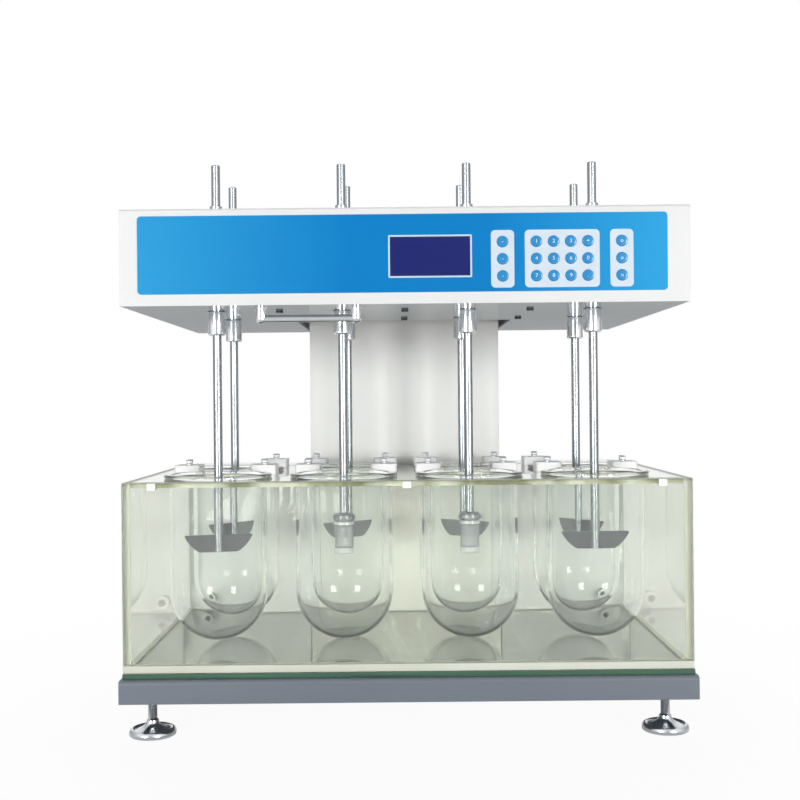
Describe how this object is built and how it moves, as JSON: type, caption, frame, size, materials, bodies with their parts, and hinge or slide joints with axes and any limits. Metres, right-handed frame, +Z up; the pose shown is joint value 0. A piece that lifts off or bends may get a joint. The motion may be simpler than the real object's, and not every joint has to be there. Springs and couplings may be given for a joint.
{
  "type": "dissolution tester",
  "caption": "Bench dissolution tester: round-bottomed glass vessels hang in a clear water bath under a lifting drive head with paddle and basket stirrers, a keypad and a display.",
  "frame": {"origin": "on the bench, under the middle of the base tray", "axes": "+X to the right seen from the front, +Y to the back, +Z up"},
  "size_m": [0.604, 0.48, 0.621],
  "materials": {
    "tray_paint": "satin slate-grey powder coat",
    "green_glass": "polished float glass with green edges",
    "acrylic": "clear polished acrylic",
    "vessel_glass": "clear borosilicate glass",
    "white_nylon": "white nylon",
    "screw_steel": "bright steel",
    "column_paint": "satin cream-white powder coat",
    "cabinet_paint": "satin pale-grey powder coat",
    "circulator_plastic": "white plastic",
    "black_plastic": "black plastic",
    "foot_chrome": "bright chrome plate",
    "cover_paint": "satin white powder coat",
    "base_plate_paint": "gloss grey paint",
    "panel_film": "blue printed panel",
    "display_lcd": "dark blue liquid-crystal display",
    "handle_chrome": "bright chrome plate",
    "mast_steel": "ground steel",
    "beam_aluminium": "machined aluminium",
    "motor_paint": "black motor paint",
    "belt_rubber": "black belt rubber",
    "pulley_aluminium": "turned aluminium",
    "spindle_chrome": "polished chrome",
    "stirrer_steel": "polished stainless steel",
    "key_plastic": "blue plastic"
  },
  "bodies": {
    "base": {"base_tray": "tray_paint", "base_glass": "green_glass", "water_tank": "acrylic", "vessel_plate": "acrylic", "glass_vessels": "vessel_glass", "nylon_blocks": "white_nylon", "thumb_screws": "screw_steel", "column": "column_paint", "rear_cabinets": "cabinet_paint", "bath_circulator": "circulator_plastic", "power_inlet": "black_plastic"},
    "head": {"head_cover": "cover_paint", "head_base_plate": "base_plate_paint", "front_panel": "panel_film", "display": "display_lcd", "pull_handle": "handle_chrome", "lift_mast": "mast_steel", "spindle_bearings": "beam_aluminium", "drive_motor": "motor_paint", "drive_belts": "belt_rubber"},
    "motor_rotor": {"motor_pulley": "pulley_aluminium"},
    "spindle_1": {"spindle_1": "spindle_chrome"},
    "stirrer_1": {"paddle_1": "stirrer_steel"},
    "spindle_2": {"spindle_2": "spindle_chrome"},
    "stirrer_2": {"basket_2": "stirrer_steel"},
    "spindle_3": {"spindle_3": "spindle_chrome"},
    "stirrer_3": {"basket_3": "stirrer_steel"},
    "spindle_4": {"spindle_4": "spindle_chrome"},
    "stirrer_4": {"paddle_4": "stirrer_steel"},
    "spindle_5": {"spindle_5": "spindle_chrome"},
    "stirrer_5": {"paddle_5": "stirrer_steel"},
    "spindle_6": {"spindle_6": "spindle_chrome"},
    "stirrer_6": {"paddle_6": "stirrer_steel"},
    "spindle_7": {"spindle_7": "spindle_chrome"},
    "stirrer_7": {"paddle_7": "stirrer_steel"},
    "spindle_8": {"spindle_8": "spindle_chrome"},
    "stirrer_8": {"paddle_8": "stirrer_steel"},
    "key_1": {"key_1": "key_plastic"},
    "key_2": {"key_2": "key_plastic"},
    "key_3": {"key_3": "key_plastic"},
    "key_4": {"key_4": "key_plastic"},
    "key_5": {"key_5": "key_plastic"},
    "key_6": {"key_6": "key_plastic"},
    "key_7": {"key_7": "key_plastic"},
    "key_8": {"key_8": "key_plastic"},
    "key_9": {"key_9": "key_plastic"},
    "key_10": {"key_10": "key_plastic"},
    "key_11": {"key_11": "key_plastic"},
    "key_12": {"key_12": "key_plastic"},
    "key_13": {"key_13": "key_plastic"},
    "key_14": {"key_14": "key_plastic"},
    "key_15": {"key_15": "key_plastic"},
    "key_16": {"key_16": "key_plastic"},
    "key_17": {"key_17": "key_plastic"},
    "key_18": {"key_18": "key_plastic"},
    "foot_1": {"foot_1": "foot_chrome"},
    "foot_2": {"foot_2": "foot_chrome"},
    "foot_3": {"foot_3": "foot_chrome"},
    "foot_4": {"foot_4": "foot_chrome"},
    "power_switch": {"power_switch": "black_plastic"}
  },
  "joints": [
    {"name": "head_lift", "type": "slide", "parent": "base", "child": "head", "axis": [0, 0, 1], "range_m": [0, 0.18]},
    {"name": "motor_spin", "type": "hinge", "parent": "head", "child": "motor_rotor", "pos_m": [0, -0.085, 0.52], "axis": [0, 0, 1], "continuous": true},
    {"name": "spindle_1_spin", "type": "hinge", "parent": "head", "child": "spindle_1", "pos_m": [-0.21, -0.15, 0.5], "axis": [0, 0, 1], "continuous": true},
    {"name": "stirrer_1_height", "type": "slide", "parent": "spindle_1", "child": "stirrer_1", "axis": [0, 0, 1], "range_m": [-0.069, 0.19]},
    {"name": "spindle_2_spin", "type": "hinge", "parent": "head", "child": "spindle_2", "pos_m": [-0.07, -0.15, 0.5], "axis": [0, 0, 1], "continuous": true},
    {"name": "stirrer_2_height", "type": "slide", "parent": "spindle_2", "child": "stirrer_2", "axis": [0, 0, 1], "range_m": [-0.069, 0.19]},
    {"name": "spindle_3_spin", "type": "hinge", "parent": "head", "child": "spindle_3", "pos_m": [0.07, -0.15, 0.5], "axis": [0, 0, 1], "continuous": true},
    {"name": "stirrer_3_height", "type": "slide", "parent": "spindle_3", "child": "stirrer_3", "axis": [0, 0, 1], "range_m": [-0.069, 0.19]},
    {"name": "spindle_4_spin", "type": "hinge", "parent": "head", "child": "spindle_4", "pos_m": [0.21, -0.15, 0.5], "axis": [0, 0, 1], "continuous": true},
    {"name": "stirrer_4_height", "type": "slide", "parent": "spindle_4", "child": "stirrer_4", "axis": [0, 0, 1], "range_m": [-0.069, 0.19]},
    {"name": "spindle_5_spin", "type": "hinge", "parent": "head", "child": "spindle_5", "pos_m": [-0.21, -0.02, 0.5], "axis": [0, 0, 1], "continuous": true},
    {"name": "stirrer_5_height", "type": "slide", "parent": "spindle_5", "child": "stirrer_5", "axis": [0, 0, 1], "range_m": [-0.069, 0.19]},
    {"name": "spindle_6_spin", "type": "hinge", "parent": "head", "child": "spindle_6", "pos_m": [-0.07, -0.02, 0.5], "axis": [0, 0, 1], "continuous": true},
    {"name": "stirrer_6_height", "type": "slide", "parent": "spindle_6", "child": "stirrer_6", "axis": [0, 0, 1], "range_m": [-0.069, 0.19]},
    {"name": "spindle_7_spin", "type": "hinge", "parent": "head", "child": "spindle_7", "pos_m": [0.07, -0.02, 0.5], "axis": [0, 0, 1], "continuous": true},
    {"name": "stirrer_7_height", "type": "slide", "parent": "spindle_7", "child": "stirrer_7", "axis": [0, 0, 1], "range_m": [-0.069, 0.19]},
    {"name": "spindle_8_spin", "type": "hinge", "parent": "head", "child": "spindle_8", "pos_m": [0.21, -0.02, 0.5], "axis": [0, 0, 1], "continuous": true},
    {"name": "stirrer_8_height", "type": "slide", "parent": "spindle_8", "child": "stirrer_8", "axis": [0, 0, 1], "range_m": [-0.069, 0.19]},
    {"name": "key_1_press", "type": "slide", "parent": "head", "child": "key_1", "axis": [0, 1, 0], "range_m": [0, 0.001], "stiffness_N_per_m": 500, "springref_m": -0.001},
    {"name": "key_2_press", "type": "slide", "parent": "head", "child": "key_2", "axis": [0, 1, 0], "range_m": [0, 0.001], "stiffness_N_per_m": 500, "springref_m": -0.001},
    {"name": "key_3_press", "type": "slide", "parent": "head", "child": "key_3", "axis": [0, 1, 0], "range_m": [0, 0.001], "stiffness_N_per_m": 500, "springref_m": -0.001},
    {"name": "key_4_press", "type": "slide", "parent": "head", "child": "key_4", "axis": [0, 1, 0], "range_m": [0, 0.001], "stiffness_N_per_m": 500, "springref_m": -0.001},
    {"name": "key_5_press", "type": "slide", "parent": "head", "child": "key_5", "axis": [0, 1, 0], "range_m": [0, 0.001], "stiffness_N_per_m": 500, "springref_m": -0.001},
    {"name": "key_6_press", "type": "slide", "parent": "head", "child": "key_6", "axis": [0, 1, 0], "range_m": [0, 0.001], "stiffness_N_per_m": 500, "springref_m": -0.001},
    {"name": "key_7_press", "type": "slide", "parent": "head", "child": "key_7", "axis": [0, 1, 0], "range_m": [0, 0.001], "stiffness_N_per_m": 500, "springref_m": -0.001},
    {"name": "key_8_press", "type": "slide", "parent": "head", "child": "key_8", "axis": [0, 1, 0], "range_m": [0, 0.001], "stiffness_N_per_m": 500, "springref_m": -0.001},
    {"name": "key_9_press", "type": "slide", "parent": "head", "child": "key_9", "axis": [0, 1, 0], "range_m": [0, 0.001], "stiffness_N_per_m": 500, "springref_m": -0.001},
    {"name": "key_10_press", "type": "slide", "parent": "head", "child": "key_10", "axis": [0, 1, 0], "range_m": [0, 0.001], "stiffness_N_per_m": 500, "springref_m": -0.001},
    {"name": "key_11_press", "type": "slide", "parent": "head", "child": "key_11", "axis": [0, 1, 0], "range_m": [0, 0.001], "stiffness_N_per_m": 500, "springref_m": -0.001},
    {"name": "key_12_press", "type": "slide", "parent": "head", "child": "key_12", "axis": [0, 1, 0], "range_m": [0, 0.001], "stiffness_N_per_m": 500, "springref_m": -0.001},
    {"name": "key_13_press", "type": "slide", "parent": "head", "child": "key_13", "axis": [0, 1, 0], "range_m": [0, 0.001], "stiffness_N_per_m": 500, "springref_m": -0.001},
    {"name": "key_14_press", "type": "slide", "parent": "head", "child": "key_14", "axis": [0, 1, 0], "range_m": [0, 0.001], "stiffness_N_per_m": 500, "springref_m": -0.001},
    {"name": "key_15_press", "type": "slide", "parent": "head", "child": "key_15", "axis": [0, 1, 0], "range_m": [0, 0.001], "stiffness_N_per_m": 500, "springref_m": -0.001},
    {"name": "key_16_press", "type": "slide", "parent": "head", "child": "key_16", "axis": [0, 1, 0], "range_m": [0, 0.001], "stiffness_N_per_m": 500, "springref_m": -0.001},
    {"name": "key_17_press", "type": "slide", "parent": "head", "child": "key_17", "axis": [0, 1, 0], "range_m": [0, 0.001], "stiffness_N_per_m": 500, "springref_m": -0.001},
    {"name": "key_18_press", "type": "slide", "parent": "head", "child": "key_18", "axis": [0, 1, 0], "range_m": [0, 0.001], "stiffness_N_per_m": 500, "springref_m": -0.001},
    {"name": "foot_1_screw", "type": "hinge", "parent": "base", "child": "foot_1", "pos_m": [-0.2755, -0.198, 0.03], "axis": [0, 0, 1], "continuous": true},
    {"name": "foot_2_screw", "type": "hinge", "parent": "base", "child": "foot_2", "pos_m": [0.2755, -0.198, 0.03], "axis": [0, 0, 1], "continuous": true},
    {"name": "foot_3_screw", "type": "hinge", "parent": "base", "child": "foot_3", "pos_m": [-0.2755, 0.198, 0.03], "axis": [0, 0, 1], "continuous": true},
    {"name": "foot_4_screw", "type": "hinge", "parent": "base", "child": "foot_4", "pos_m": [0.2755, 0.198, 0.03], "axis": [0, 0, 1], "continuous": true},
    {"name": "power_switch_rock", "type": "hinge", "parent": "base", "child": "power_switch", "pos_m": [0.208, 0.2308, 0.1545], "axis": [1, 0, 0], "range_deg": [-18, 0]}
  ],
  "couplings": [
    {"joint": "spindle_1_spin", "follows": "motor_spin", "ratio": 1},
    {"joint": "spindle_2_spin", "follows": "motor_spin", "ratio": 1},
    {"joint": "spindle_3_spin", "follows": "motor_spin", "ratio": 1},
    {"joint": "spindle_4_spin", "follows": "motor_spin", "ratio": 1},
    {"joint": "spindle_5_spin", "follows": "motor_spin", "ratio": 1},
    {"joint": "spindle_6_spin", "follows": "motor_spin", "ratio": 1},
    {"joint": "spindle_7_spin", "follows": "motor_spin", "ratio": 1},
    {"joint": "spindle_8_spin", "follows": "motor_spin", "ratio": 1}
  ]
}
